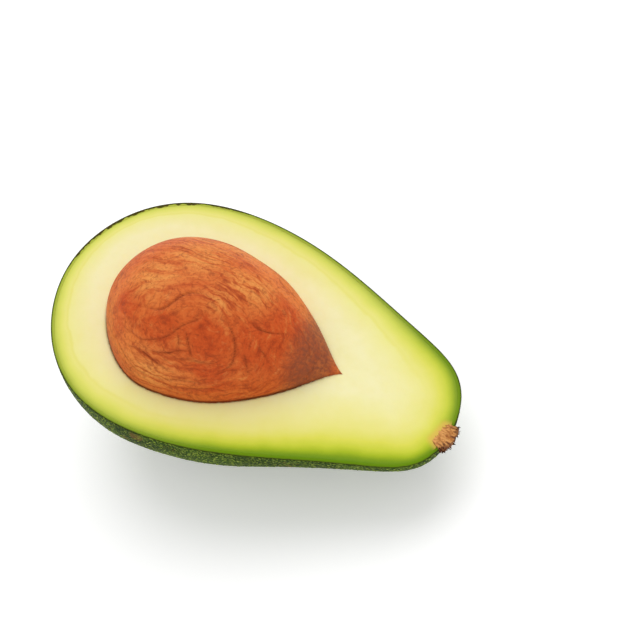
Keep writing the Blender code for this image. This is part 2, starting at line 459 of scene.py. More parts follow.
class Graph:
    """A node tree that is being built. add() makes a node, sets its options and fills its inputs."""

    def __init__(self, tree):
        self.tree = tree

    def add(self, kind, inputs=None, **options):
        node = self.tree.nodes.new(kind)
        for name, value in options.items():
            setattr(node, name, value)
        for key, value in (inputs or {}).items():
            self.fill(node.inputs[key], value)
        return node

    def fill(self, socket, value):
        if isinstance(value, bpy.types.NodeSocket):
            self.tree.links.new(value, socket)
        elif socket.type == "RGBA" and len(value) == 3:
            socket.default_value = (*value, 1.0)
        else:
            socket.default_value = value

    def math(self, operation, *values):
        return self.add("ShaderNodeMath", dict(enumerate(values)), operation=operation).outputs[0]

    def plus(self, first, second):
        return self.math("ADD", first, second)

    def minus(self, first, second):
        return self.math("SUBTRACT", first, second)

    def times(self, first, second):
        return self.math("MULTIPLY", first, second)

    def per_metre(self, size):
        """1 / size, of a number or of a socket."""
        return self.math("DIVIDE", 1.0, size) if isinstance(size, bpy.types.NodeSocket) else 1 / size

    def scaled(self, vector, factors):
        inputs = {0: vector, 1: factors}
        return self.add("ShaderNodeVectorMath", inputs, operation="MULTIPLY").outputs[0]

    def noise(self, vector, size, detail=2.0, roughness=0.5, distortion=0.0):
        """Noise whose blobs are about size metres across."""
        inputs = {"Vector": vector, "Detail": detail, "Roughness": roughness, "Distortion": distortion}
        node = self.add("ShaderNodeTexNoise", inputs)
        self.fill(node.inputs["Scale"], self.per_metre(size))
        return node.outputs[0]

    def cells(self, vector, size):
        """Distances to the nearest of points that lie about size metres apart."""
        return self.add("ShaderNodeTexVoronoi", {"Vector": vector, "Scale": self.per_metre(size)}).outputs[0]

    def step(self, value, low, high, start=0.0, end=1.0):
        inputs = {0: value, 1: low, 2: high, 3: start, 4: end}
        return self.add("ShaderNodeMapRange", inputs, interpolation_type="SMOOTHSTEP").outputs[0]

    def mix(self, share, first, second):
        return self.add("ShaderNodeMix", {0: share, 6: first, 7: second}, data_type="RGBA").outputs[2]

    def covered(self, base, *layers):
        """The base colour under more colours, each of which has a share from 0 to 1."""
        for share, colour in layers:
            base = self.mix(share, base, colour)
        return base

    def ramp(self, value, stops):
        """Colours at places from 0 to 1."""
        node = self.add("ShaderNodeValToRGB", {0: value})
        elements = node.color_ramp.elements
        while len(elements) < len(stops):
            elements.new(0.5)
        for element, (place, colour) in zip(elements, stops):
            element.position = place
            element.color = (*colour, 1.0)
        return node.outputs[0]

    def value(self, name):
        """A number that is stored on the mesh's points."""
        if self.tree.type == "GEOMETRY":
            return self.add("GeometryNodeInputNamedAttribute", {0: name}, data_type="FLOAT").outputs[0]
        return self.add("ShaderNodeAttribute", attribute_name=name).outputs["Fac"]


class Finish(Graph):
    """A material that is being built round its Principled BSDF."""

    def __init__(self, name, **constants):
        self.material = bpy.data.materials.new(name)
        self.material.use_nodes = True
        super().__init__(self.material.node_tree)
        self.shader = self.tree.nodes["Principled BSDF"]
        self.set(**constants)
        self.place = self.add("ShaderNodeTexCoord").outputs["Object"]
        self.normal = None

    def bump(self, height, distance, strength=1.0):
        """Adds relief that is finer than the mesh, of a height in metres."""
        inputs = {"Height": height, "Distance": distance, "Strength": strength}
        if self.normal is not None:
            inputs["Normal"] = self.normal
        self.normal = self.add("ShaderNodeBump", inputs).outputs[0]
        self.set(Normal=self.normal)

    def set(self, **named):
        """Fill inputs of the shader, whose names have _ for each space."""
        for key, value in named.items():
            self.fill(self.shader.inputs[key.replace("_", " ")], value)


class Shaper(Graph):
    """A Geometry Nodes tree with named inputs, put on an object and turned into a plain mesh."""

    def __init__(self, name, **sizes):
        tree = bpy.data.node_groups.new(name, "GeometryNodeTree")
        tree.is_modifier = True
        super().__init__(tree)
        for way in ("INPUT", "OUTPUT"):
            tree.interface.new_socket("Geometry", in_out=way, socket_type="NodeSocketGeometry")
        kinds = {int: "NodeSocketInt", float: "NodeSocketFloat", type(None): "NodeSocketMaterial"}
        self.chosen = {}
        for key, value in {**sizes, "material": None}.items():
            label = key.replace("_", " ").capitalize()
            socket = tree.interface.new_socket(label, in_out="INPUT", socket_type=kinds[type(value)])
            self.chosen[key] = (socket.identifier, value)
        self.inputs = tree.nodes.new("NodeGroupInput")
        self.output = tree.nodes.new("NodeGroupOutput")
        self.geometry = self.inputs.outputs[0]
        self.sockets = dict(zip(self.chosen, self.inputs.outputs[1:]))

    def raised(self, geometry, height):
        """The geometry with each point moved along its normal by a height."""
        normal = self.add("GeometryNodeInputNormal").outputs[0]
        offset = self.add("ShaderNodeVectorMath", {0: normal, "Scale": height}, operation="SCALE").outputs[0]
        inputs = {"Geometry": geometry, "Offset": offset}
        return self.add("GeometryNodeSetPosition", inputs).outputs[0]

    def random(self, low, high, seed=0):
        inputs = {2: low, 3: high, "Seed": seed}
        return self.add("FunctionNodeRandomValue", inputs, data_type="FLOAT").outputs[1]

    def placed(self, scatter, instance, rotation, scale):
        """One instance on each of the scattered points."""
        inputs = {
            "Points": scatter.outputs["Points"],
            "Instance": instance,
            "Rotation": rotation,
            "Scale": scale,
        }
        return self.add("GeometryNodeInstanceOnPoints", inputs).outputs[0]

    def apply(self, piece, geometry, material):
        """End the tree, run it on the piece and keep the result as the piece's own mesh."""
        real = self.add("GeometryNodeRealizeInstances", {0: geometry}).outputs[0]
        inputs = {"Geometry": real, "Material": self.sockets["material"]}
        self.fill(self.output.inputs[0], self.add("GeometryNodeSetMaterial", inputs).outputs[0])
        modifier = piece.modifiers.new(self.tree.name, "NODES")
        modifier.node_group = self.tree
        for key, (identifier, value) in self.chosen.items():
            modifier[identifier] = material if key == "material" else value
        evaluated = piece.evaluated_get(bpy.context.evaluated_depsgraph_get())
        data = bpy.data.meshes.new_from_object(evaluated)
        piece.modifiers.remove(modifier)
        piece.data = data
        return data


# Skin

def skin_finish(colours, flesh_colours):
    """Dark green leather with mottles and pale specks; at the cut its dark outer layer shows as a line."""
    make = Finish("avocado skin", Roughness=0.5, IOR=1.12, Specular_IOR_Level=0.2)
    blotches = make.noise(make.place, 0.012, detail=4.0, roughness=0.6)
    grain = make.noise(make.place, 0.0011, detail=3.0, roughness=0.6)
    flecks = make.noise(make.place, 0.00046, detail=1.5, roughness=0.4, distortion=0.7)
    thick = make.step(blotches, 0.30, 0.60, 0.40, 0.75)
    brown = make.step(make.noise(make.place, 0.008, detail=2.0), 0.66, 0.74, 0.0, 0.5)
    base = make.covered(
        make.mix(make.step(blotches, 0.36, 0.66), colours.dark, colours.green),
        (make.step(grain, 0.34, 0.62, 0.75, 0.0), colours.dark),
        # painted shade: the valleys between the pebbles are darkened as deep as they are
        (make.times(make.value("valley"), 0.55), colours.dark),
        (make.times(make.step(flecks, 0.50, 0.66), thick), colours.speck),
        (brown, paint(124, 92, 38)),
    )
    width = make.plus(0.00013, make.times(make.value("frayed"), 0.00062))
    ragged = make.step(make.noise(make.place, 0.0016, detail=3.0), 0.30, 0.70, 0.25, 1.0)
    line = make.minus(make.value("inside"), make.times(ragged, width))
    torn = make.times(make.value("frayed"), make.step(grain, 0.40, 0.60, 1.0, 0.2))
    edge = make.mix(torn, colours.edge, paint(84, 72, 30))
    cut = make.mix(make.step(line, 0.00006, 0.00024), edge, green_band(make, flesh_colours))
    make.set(Base_Color=make.mix(make.step(make.value("inside"), 0.0, 0.00005), base, cut))
    make.bump(make.noise(make.place, 0.00035, detail=2.0), 0.00004)
    return make.material


def speck_finish(colours):
    """Pale corky specks that stand a little out of the skin."""
    make = Finish("avocado specks", Roughness=0.65, IOR=1.12, Specular_IOR_Level=0.2)
    patches = make.noise(make.place, 0.004, detail=2.0)
    brown = make.step(make.noise(make.place, 0.009, detail=1.0), 0.62, 0.72)
    base = make.mix(make.step(patches, 0.35, 0.65), paint(190, 206, 104), colours.speck)
    make.set(Base_Color=make.mix(brown, base, paint(134, 104, 52)))
    return make.material


def shape_pebbles(piece, settings, material):
    """Low rounded bumps pressed into the skin, fading out at the rim and on the flat spot."""
    shaper = Shaper("skin pebbles", pebble_size=settings.pebble_size, pebble_height=settings.pebble_height)
    size, height = shaper.sockets["pebble_size"], shaper.sockets["pebble_height"]
    position = shaper.add("GeometryNodeInputPosition").outputs[0]
    wobble = shaper.noise(position, 0.004, detail=1.0)
    cells = shaper.cells(position, size)
    finer = shaper.cells(position, shaper.times(size, 0.55))
    valley = shaper.step(shaper.plus(cells, shaper.times(finer, 0.35)), 0.30, 0.95)
    dents = shaper.step(wobble, 0.35, 0.65, 0.25, 1.0)
    valley = shaper.times(shaper.times(valley, dents), shaper.value("relief"))
    # the valley depth is kept for the skin's material, which paints shade into the valleys with it
    stored = shaper.add(
        "GeometryNodeStoreNamedAttribute",
        {"Geometry": shaper.geometry, "Name": "valley", "Value": valley},
        data_type="FLOAT",
        domain="POINT",
    )
    depth = shaper.times(shaper.times(valley, height), -1.0)
    shaper.apply(piece, shaper.raised(stored.outputs[0], depth), material)


def close_skin(data, settings):
    """Give the open outer surface its cut edge and its inner side."""
    inner = ball_mesh("inner", SKIN_INNER_SQUARES, lower_half=True, rows_off=1)
    along, turn = ball_angles(inner, upwards=False)
    points = fruit_surface(along, turn)
    points -= surface_normals(fruit_surface, along, turn) * SKIN_THICKNESS
    set_coordinates(inner, pressed(points, clearance=SKIN_THICKNESS))
    inner.flip_normals()

    mesh = bmesh.new()
    mesh.from_mesh(data)
    inside = mesh.verts.layers.float["inside"]
    mesh.normal_update()
    rim = [edge for edge in mesh.edges if edge.is_boundary]
    start = {vertex: vertex.co.copy() for edge in rim for vertex in edge.verts}
    outward = {v: Vector((v.normal.x, v.normal.y, 0)).normalized() for v in start}
    origin = {vertex: vertex for vertex in start}
    near_stub = {v: float(beside_stub(np.array([place[:]]))[0]) for v, place in start.items()}
    for inward, lip in RIM_PROFILE:
        grown = bmesh.ops.extrude_edge_only(mesh, edges=rim)["geom"]
        rim = [item for item in grown if isinstance(item, bmesh.types.BMEdge)]
        origin = follow(origin, [item for item in grown if isinstance(item, bmesh.types.BMVert)])
        for vertex, first in origin.items():
            height = rim_height(start[first]) * settings.rim_roughness * lip
            height -= near_stub[first] * (0.0003 + height)
            vertex.co = start[first] - outward[first] * inward + Vector((0, 0, height))
            vertex[inside] = inward
    wall = {vertex for edge in rim for vertex in edge.verts}
    count = len(mesh.verts)
    mesh.from_mesh(inner)
    mesh.verts.ensure_lookup_table()
    fresh = mesh.verts[count:]
    for vertex in fresh:
        vertex[inside] = SKIN_THICKNESS
    edge = {vertex for vertex in fresh if any(link.is_boundary for link in vertex.link_edges)}
    join_loops(mesh, wall, edge)
    mesh.normal_update()
    bmesh.ops.recalc_face_normals(mesh, faces=mesh.faces)
    mesh.to_mesh(data)
    mesh.free()
    bpy.data.meshes.remove(inner)
    points = coordinates(data)
    depth = np.empty(len(points))
    data.attributes["inside"].data.foreach_get("value", depth)
    set_values(
        data,
        green_depth=1.3 * depth / green_width(points),
        deep=deep_green(points),
        frayed=frayed(points[:, 0], points[:, 1]),
    )


def frayed(x, y):
    """1 along the stretch of rim where the skin tore, on the +Y side of the blunt end."""
    return smooth_step(-x, 0.012, 0.034) * smooth_step(y, -0.004, 0.012)


def join_loops(mesh, upper, lower):
    """Triangles between two closed loops of points, matched by where they lie round the stone."""
    loops = []
    for loop in (upper, lower):
        placed = [(math.atan2(v.co.y - SEED_CENTRE[1], v.co.x - SEED_CENTRE[0]), v) for v in loop]
        placed.sort(key=lambda item: item[0])
        placed.append((placed[0][0] + 2 * math.pi, placed[0][1]))
        loops.append(placed)
    first, second = loops
    i = j = 0
    while i < len(first) - 1 or j < len(second) - 1:
        ended = j == len(second) - 1
        if ended or (i < len(first) - 1 and first[i + 1][0] <= second[j + 1][0]):
            mesh.faces.new((first[i][1], first[i + 1][1], second[j][1]))
            i += 1
        else:
            mesh.faces.new((first[i][1], second[j + 1][1], second[j][1]))
            j += 1


def follow(origin, fresh):
    """Which rim point each freshly extruded point came from."""
    found = {}
    for vertex in fresh:
        for edge in vertex.link_edges:
            other = edge.other_vert(vertex)
            if other in origin:
                found[vertex] = origin[other]
    return found


def rim_height(point):
    """How far the cut edge stands up or is torn down there, from about -1 to 1."""
    place = Vector(point)
    tears = noise.noise(place * 900) + 0.6 * noise.noise(place * 2300)
    torn = frayed(point.x, point.y)
    return float(tears * (0.45 + 1.1 * torn) + 0.25 * torn)


def scatter_specks(settings, outer, material):
    """Flat corky domes over the skin, all of one make, at random places from a fixed seed."""
    piece = new_object("skin_specks", outer)
    shaper = Shaper(
        "skin specks",
        speck_spacing=settings.speck_spacing,
        speck_size=settings.speck_size,
        seed=7,
    )
    inputs = {
        "Mesh": shaper.geometry,
        "Distance Min": shaper.sockets["speck_spacing"],
        "Density Max": SPECKS_PER_SQUARE_METRE,
        "Density Factor": shaper.value("relief"),
        "Seed": shaper.sockets["seed"],
    }
    scatter = shaper.add("GeometryNodeDistributePointsOnFaces", inputs, distribute_method="POISSON")
    dome_inputs = {"Segments": 8, "Rings": 4, "Radius": 0.5}
    dome = shaper.add("GeometryNodeMeshUVSphere", dome_inputs).outputs[0]
    share = shaper.random(LEAST_SPECK, 1.0, shaper.sockets["seed"])
    size = shaper.times(share, shaper.sockets["speck_size"])
    shape = {0: size, 1: shaper.times(size, SPECK_WIDTH), 2: 2 * SPECK_ROOM}
    scale = shaper.add("ShaderNodeCombineXYZ", shape).outputs[0]
    shaper.apply(piece, shaper.placed(scatter, dome, scatter.outputs["Rotation"], scale), material)
    return piece


class AVOCADO_OT_skin(bpy.types.Operator):
    """Make the pebbled skin with its cut edge, and its raised specks"""

    bl_idname = "avocado.skin"
    bl_label = "Skin"

    def execute(self, context):
        settings = context.scene.avocado_skin
        data = ball_mesh("skin", SKIN_SQUARES, lower_half=True)
        along, turn = ball_angles(data, upwards=False)
        points = fruit_surface(along, turn)
        points -= surface_normals(fruit_surface, along, turn) * SPECK_ROOM
        relief = smooth_step(-points[:, 2], 0.0002, 0.0016)
        relief *= smooth_step(above_floor(points), 0.0002, 0.0012)
        set_coordinates(data, pressed(points))
        set_values(data, relief=relief, inside=np.zeros(len(points)))
        piece = new_object("avocado_skin", data)
        finish = skin_finish(settings, context.scene.avocado_flesh)
        shape_pebbles(piece, settings, finish)
        pale = speck_finish(settings)
        specks = scatter_specks(settings, piece.data.copy(), pale)
        close_skin(piece.data, settings)
        finish_piece(piece, finish, "skin")
        finish_piece(specks, pale, None)
        return {"FINISHED"}


# Flesh

def ray_lengths(points, centre, angles):
    """How far a closed outline lies from the centre in each direction."""
    offset = points[:, :2] - centre
    bearing = np.arctan2(offset[:, 1], offset[:, 0])
    order = np.argsort(bearing)
    return np.interp(angles, bearing[order], np.hypot(*offset.T)[order], period=2 * math.pi)


def cut_outline(surface, inset):
    """Outline in the cut plane of the fruit or the stone, moved inwards by inset."""
    along = np.linspace(0.0005, math.pi - 0.0005, 900)
    sides = [surface(along, np.full_like(along, turn)) for turn in (0.0, math.pi)]
    outline = np.concatenate([sides[0], sides[1][::-1]])
    ahead = np.roll(outline, -1, axis=0) - np.roll(outline, 1, axis=0)
    normal = np.stack([ahead[:, 1], -ahead[:, 0]], axis=1)
    normal /= np.linalg.norm(normal, axis=1, keepdims=True)
    away = outline[:, :2] - outline[:, :2].mean(axis=0)
    normal *= np.sign(np.sum(normal * away, axis=1, keepdims=True))
    outline[:, :2] -= normal * inset
    return outline


def nearest(points, outline):
    """Distance in the cut plane from each point to an outline."""
    found = np.empty(len(points))
    for first in range(0, len(points), 4000):
        block = points[first : first + 4000, None, :2] - outline[None, :, :2]
        found[first : first + 4000] = np.sqrt(np.min(np.sum(block ** 2, axis=2), axis=1))
    return found


def green_width(points):
    """How wide the green band is there: it is widest along the -Y side of the neck."""
    x, y = points[:, 0], points[:, 1]
    upper_places = (-0.053, -0.040, -0.014, 0.010, 0.026, 0.038, 0.052)
    upper = np.interp(x, upper_places, (0.75, 0.7, 0.95, 1.1, 1.4, 1.8, 1.8))
    lower_places = (-0.053, -0.034, -0.014, 0.009, 0.030, 0.042, 0.052)
    lower = np.interp(x, lower_places, (0.8, 1.2, 1.4, 1.8, 2.4, 2.2, 1.6))
    return upper + (lower - upper) * smooth_step(-y, -0.006, 0.008)


def deep_green(points):
    """1 where the green band is deep, along the -Y side and round the neck, and 0 elsewhere."""
    low = smooth_step(-points[:, 1], -0.002, 0.008)
    neck = 0.75 * smooth_step(points[:, 0], 0.022, 0.044)
    return np.maximum(low * smooth_step(points[:, 0], -0.036, 0.012), neck)


def green_band(make, colours):
    """Colours of the cut from the skin inwards, by green_depth: green, lime, yellow, then cream."""
    patches = make.noise(make.place, 0.006, detail=3.0)
    depth = make.times(make.value("green_depth"), 100.0)
    depth = make.times(depth, make.step(patches, 0.2, 0.8, 0.92, 1.08))
    bright = make.ramp(
        depth,
        (
            (0.0, paint(108, 130, 32)),
            (0.045, colours.green),
            (0.11, paint(186, 198, 76)),
            (0.20, colours.lime),
            (0.30, colours.yellow),
            (0.40, paint(240, 236, 136)),
            (0.455, paint(238, 234, 130)),
            (0.51, paint(244, 240, 154)),
            (0.74, paint(248, 242, 172)),
            (1.0, colours.cream),
        ),
    )
    deep = make.ramp(
        depth,
        (
            (0.0, paint(90, 124, 14)),
            (0.05, paint(108, 146, 20)),
            (0.09, paint(128, 160, 16)),
            (0.14, paint(172, 192, 32)),
            (0.20, paint(206, 214, 60)),
            (0.29, paint(228, 226, 90)),
            (0.42, paint(240, 234, 134)),
            (0.65, paint(247, 240, 162)),
            (1.0, colours.cream),
        ),
    )
    return make.mix(make.value("deep"), bright, deep)


def flesh_finish(colours):
    """Moist flesh: cream round the stone, through yellow and lime to green next to the skin."""
    make = Finish(
        "avocado flesh",
        Roughness=0.4,
        Specular_IOR_Level=0.08,
        Subsurface_Weight=0.15,
        Subsurface_Radius=(1.0, 0.8, 0.4),
        Subsurface_Scale=0.0012,
    )
    specks = make.noise(make.place, 0.0011, detail=3.0, roughness=0.6)
    # painted shade: the flesh is darkened beside the stone's -Y side, where the gap between them lies,
    # broken up by specks
    stain = make.times(make.value("stain"), make.step(specks, 0.30, 0.58, 0.25, 1.0))
    clouds = make.times(make.step(make.noise(make.place, 0.009, detail=3.0), 0.42, 0.75), 0.16)
    mottles = make.noise(make.place, 0.0022, detail=3.0, roughness=0.6)
    clouds = make.plus(clouds, make.step(mottles, 0.40, 0.70, 0.0, 0.10))
    clouds = make.times(clouds, make.step(make.value("green_depth"), 0.0025, 0.0060))
    base = make.covered(
        green_band(make, colours),
        (make.times(make.value("woody"), 0.75), paint(236, 190, 92)),
        # painted shade of the gap beside the stone
        (stain, paint(142, 88, 28)),
        (clouds, paint(240, 230, 130)),
    )
    make.set(Base_Color=base)
    fibres = make.noise(make.place, 0.0007, detail=3.0, roughness=0.6)
    make.bump(fibres, 0.00003, 0.6)
    return make.material


def flesh_relief(points, from_seed, from_skin, settings):
    """Height of the cut face: a little uneven, rounded down at the stone and dipped at the skin."""
    height = settings.waviness * (noise_at(points * 140) + 0.5 * noise_at(points * 420))
    torn = 1.0 + 0.9 * noise_at(points * 1100)
    close = np.exp(-((from_seed / 0.00035) ** 2))
    height -= settings.lip * (0.25 + 0.75 * lower_side(points)) * torn * close
    height -= 0.00005 * np.exp(-((from_skin / 0.0002) ** 2))
    height -= 0.00012 * beside_stub(points)
    return height


def lower_side(points):
    """1 on the -Y side of the stone, where the flesh stands off it by a gap that has painted shade in it,
    and 0 on the other side.
    """
    return smooth_step(-points[:, 1], -0.004, 0.010)


def beside_stub(points):
    """1 on the stub's place in the cut face, falling to 0 about 2 mm from it."""
    inner, length, axis, side = stub_directions()
    offset = points - np.array(inner)
    ahead = offset @ np.array(axis)
    aside = np.abs(offset @ np.array(side))
    radius = STUB_INNER_RADIUS + (STUB_OUTER_RADIUS - STUB_INNER_RADIUS) * np.clip(ahead / length, 0, 1)
    gap = np.hypot(np.maximum(aside - radius, 0), np.maximum(0.0012 - ahead, 0))
    return np.exp(-((gap / 0.0009) ** 2))


def bowl(edge, under, room, centre):
    """Points from a rim down to the lowest point of a bowl, ring by ring."""
    found = []
    for ring in range(1, FLESH_BOWL_RINGS):
        share = math.cos(math.pi / 2 * ring / FLESH_BOWL_RINGS)
        found.append(under(centre + (edge[:, :2] - centre) * share, room))
    return np.concatenate(found), under(centre[None, :], room)


def fruit_under(flat, inset):
    """Points on the fruit's underside at places in the cut plane, moved inwards by inset."""
    x = np.clip(flat[:, 0], -FRUIT_LENGTH / 2 + 1e-6, FRUIT_LENGTH / 2 - 1e-6)
    half_width, rise, middle = fruit_section(np.arccos(-2 * x / FRUIT_LENGTH))
    squared = half_width ** 2 + rise ** 2 - (flat[:, 1] - middle) ** 2
    depth = np.sqrt(np.maximum(squared, 0)) - rise
    shrink = np.clip(1 - inset / np.maximum(depth, inset), 0, 1)
    points = np.stack([flat[:, 0], flat[:, 1], -depth * shrink - 0.00005], axis=1)
    return pressed(points, clearance=inset)


def seed_under(flat, room):
    """Points just under the stone at places in the cut plane."""
    turned = np.array(Matrix.Rotation(-SEED_TURN, 2))
    local = (flat - np.array(SEED_CENTRE[:2])) @ turned.T
    cosine = np.clip(-2 * local[:, 0] / (SEED_LENGTH + 2 * room), -1, 1)
    radius = outline_width(SEED_TERMS, np.arccos(cosine)) + room
    side = local[:, 1] - SEED_BEND * cosine ** 3
    depth = SEED_HEIGHT_RATIO * np.sqrt(np.maximum(radius ** 2 - side ** 2, 0))
    return np.stack([flat[:, 0], flat[:, 1], -depth - 0.0001], axis=1)


class AVOCADO_OT_flesh(bpy.types.Operator):
    """Make the flesh with its cut face and the hollow for the stone"""

    bl_idname = "avocado.flesh"
    bl_label = "Flesh"

    def execute(self, context):
        settings = context.scene.avocado_flesh
        centre = np.array(SEED_CENTRE[:2])
        spread = 2 * math.pi * np.arange(FLESH_RAYS) / FLESH_RAYS
        angles = spread - FLESH_RAY_BIAS * np.sin(spread - SEED_TURN)
        outside = cut_outline(fruit_surface, SKIN_THICKNESS)
        inside = cut_outline(seed_surface, 0.0)
        reach = ray_lengths(outside, centre, angles)
        near = ray_lengths(inside, centre, angles)
        direction = np.stack([np.cos(angles), np.sin(angles)], axis=1)
        near += STONE_GAP * lower_side(centre + direction * near[:, None]) - STONE_OVERLAP
        shares = (1 - np.cos(math.pi * np.arange(FLESH_RINGS + 1) / FLESH_RINGS)) / 2
        flat = np.concatenate([centre + direction * (near + (reach - near) * s)[:, None] for s in shares])
        top = np.column_stack([flat, np.zeros(len(flat))])
        from_seed = nearest(top, inside)
        from_skin = nearest(top, outside)
        top[:, 2] = flesh_relief(top, from_seed, from_skin, settings)

        count = FLESH_RAYS
        hollow, hollow_end = bowl(top[:count], seed_under, HOLLOW_ROOM, centre)
        outer, outer_end = bowl(top[-count:], fruit_under, SKIN_THICKNESS + FLESH_ROOM, np.zeros(2))
        points = np.concatenate([top, hollow, hollow_end, outer, outer_end])
        faces = []
        joined_rings(faces, range(0, len(top), count), count)
        first = len(top)
        hollow_rings = [0, *range(first, first + len(hollow), count)]
        joined_rings(faces, hollow_rings[::-1], count)
        closed_ring(faces, hollow_rings[-1], count, first + len(hollow), True)
        first += len(hollow) + 1
        outer_rings = [len(top) - count, *range(first, first + len(outer), count)]
        joined_rings(faces, outer_rings, count)
        closed_ring(faces, outer_rings[-1], count, first + len(outer), False)

        data = bpy.data.meshes.new("avocado_flesh")
        data.from_pydata(points.tolist(), [], faces)
        data.update()
        depth = (from_skin + 1.15 * SKIN_THICKNESS) / green_width(top)
        # painted shade of the gap along the stone's -Y side, strongest next to the stone; the hollow under
        # the stone gets some of it too
        stain = np.exp(-((from_seed / 0.00026) ** 2)) * lower_side(top)
        counts = (len(hollow) + 1, len(outer) + 1)
        set_values(
            data,
            green_depth=by_part(depth, 0.012, counts),
            deep=deep_green(points),
            stain=by_part(stain, 0.35, counts),
            woody=by_part(beside_stub(top), 0.0, counts),
        )
        piece = new_object("avocado_flesh", data)
        finish_piece(piece, flesh_finish(settings), "flesh")
        return {"FINISHED"}


def by_part(cut, hollow, counts):
    """Values on the cut face, then one for all of the hollow, then 0 under the skin."""
    return np.concatenate([cut, np.full(counts[0], hollow), np.zeros(counts[1])])


def joined_rings(faces, rings, count):
    """Quads between rings of count points, each ring given by its first point."""
    rings = list(rings)
    for low, high in zip(rings, rings[1:]):
        for k in range(count):
            after = (k + 1) % count
            faces.append((low + k, high + k, high + after, low + after))


def closed_ring(faces, ring, count, end, inwards):
    """Triangles from a ring to the point that closes it."""
    for k in range(count):
        after = (k + 1) % count
        faces.append((ring + after, ring + k, end) if inwards else (ring + k, end, ring + after))


# Stone

def stone_points(places, turns):
    """Points of the stone at places along it in mm and turns in degrees."""
    along = np.arccos(np.clip(-2 * np.asarray(places, float) / 1000 / SEED_LENGTH, -1, 1))
    return seed_surface(along, np.radians(turns))


def crease_gaps(points):
    """Distance from each point of the stone to the nearest long crease, and how strong that is there."""
    gap = np.full(len(points), CREASE_REACH)
    strength = np.zeros(len(points))
    for number, route in enumerate(CREASES):
        stations = np.array(route, float)
        fine = np.linspace(0, len(route) - 1, 12 * len(route))
        line = stone_points(smooth_route(stations[:, 0], fine), smooth_route(stations[:, 1], fine))
        ends = np.sin(math.pi * np.clip(fine / fine[-1], 0.02, 0.98)) ** 0.6
        low, high = line.min(axis=0) - CREASE_REACH, line.max(axis=0) + CREASE_REACH
        close = np.flatnonzero(np.all((points > low) & (points < high), axis=1))
        gaps = np.linalg.norm(points[close, None] - line[None], axis=2)
        best = gaps.argmin(axis=1)
        found = gaps[np.arange(len(close)), best]
        nearer = found < gap[close]
        gap[close[nearer]] = found[nearer]
        strength[close[nearer]] = ends[best[nearer]] * (0.8 + 0.2 * math.sin(2.3 * number))
    return gap, strength


def zone_values(points, zones):
    """1 in the middle of each zone of the stone, falling smoothly to 0."""
    found = np.zeros(len(points))
    for place, turn, radius in zones:
        gap = np.linalg.norm(points - stone_points(place, turn), axis=1)
        found = np.maximum(found, np.exp(-((gap / radius * 1000) ** 2)))
    return found


def flow_values(along, turn):
    """Distance round the stone from the middle of its whorl; the wrinkles keep the same distance."""
    place = -SEED_LENGTH / 2 * np.cos(along) - WHORL[0] / 1000
    away = (turn - math.radians(WHORL[1]) + math.pi) % (2 * math.pi) - math.pi
    return np.hypot(0.8 * place, outline_width(SEED_TERMS, along) * away)


def smooth_route(values, at):
    """A smooth curve through values at 0, 1, 2 and so on."""
    ends = np.concatenate([[2 * values[0] - values[1]], values, [2 * values[-1] - values[-2]]])
    k = np.minimum(at.astype(int), len(values) - 2)
    t = at - k
    a, b, c, d = (ends[k + shift] for shift in range(4))
    bent = (2 * a - 5 * b + 4 * c - d) * t ** 2 + (3 * b - a - 3 * c + d) * t ** 3
    return 0.5 * (2 * b + (c - a) * t + bent)


def wrinkle_lines(graph, position, spacing):
    """Fine wrinkles, 1 on each line, and the place to read streaks at that run beside them."""
    warp = graph.minus(graph.noise(position, 0.007, detail=2.0), 0.5)
    shiver = graph.minus(graph.noise(position, 0.0016, detail=2.0), 0.5)
    flow = graph.plus(graph.value("flow"), graph.times(warp, 0.0050))
    flow = graph.plus(flow, graph.times(shiver, 0.0007))
    folds = graph.math("PINGPONG", flow, graph.times(spacing, 0.5))
    line = graph.step(folds, 0.00002, 0.00020, 1.0, 0.0)
    patchy = graph.step(graph.noise(position, 0.005, detail=2.0), 0.44, 0.60)
    patchy = graph.times(patchy, graph.step(graph.value("flow"), 0.0050, 0.0085))
    away = graph.math("SMOOTH_MAX", flow, 0.0055, 0.002)
    beside = graph.add("ShaderNodeCombineXYZ", {0: away}).outputs[0]
    inputs = {0: graph.scaled(position, (0.32, 0.32, 0.32)), 1: beside}
    streaks = graph.add("ShaderNodeVectorMath", inputs, operation="ADD").outputs[0]
    return graph.times(line, patchy), streaks


def along_creases(graph, gap, low, high, most=1.0):
    """most up to low beside a long crease and 0 from high on, and less where the crease is faint."""
    return graph.times(graph.step(gap, low, high, most, 0.0), graph.value("crease_strength"))


def shape_stone(piece, settings, material):
    """Long creases, fine wrinkles that run round the whorl, and low lumps."""
    shaper = Shaper(
        "stone relief",
        crease_depth=settings.crease_depth,
        wrinkle_spacing=settings.wrinkle_spacing,
        wrinkle_depth=settings.wrinkle_depth,
        lump_height=settings.lump_height,
    )
    position = shaper.add("GeometryNodeInputPosition").outputs[0]
    wrinkle, streaks = wrinkle_lines(shaper, position, shaper.sockets["wrinkle_spacing"])
    lumps = shaper.minus(shaper.noise(streaks, 0.0042, detail=3.0), 0.75)
    height = shaper.times(lumps, shaper.sockets["lump_height"])
    crease = along_creases(shaper, shaper.value("crease_gap"), 0.00004, 0.00045)
    height = shaper.minus(height, shaper.times(crease, shaper.sockets["crease_depth"]))
    wrinkle = shaper.times(wrinkle, shaper.sockets["wrinkle_depth"])
    height = shaper.minus(height, wrinkle)
    height = shaper.times(height, shaper.value("free"))
    shaper.apply(piece, shaper.raised(shaper.geometry, height), material)


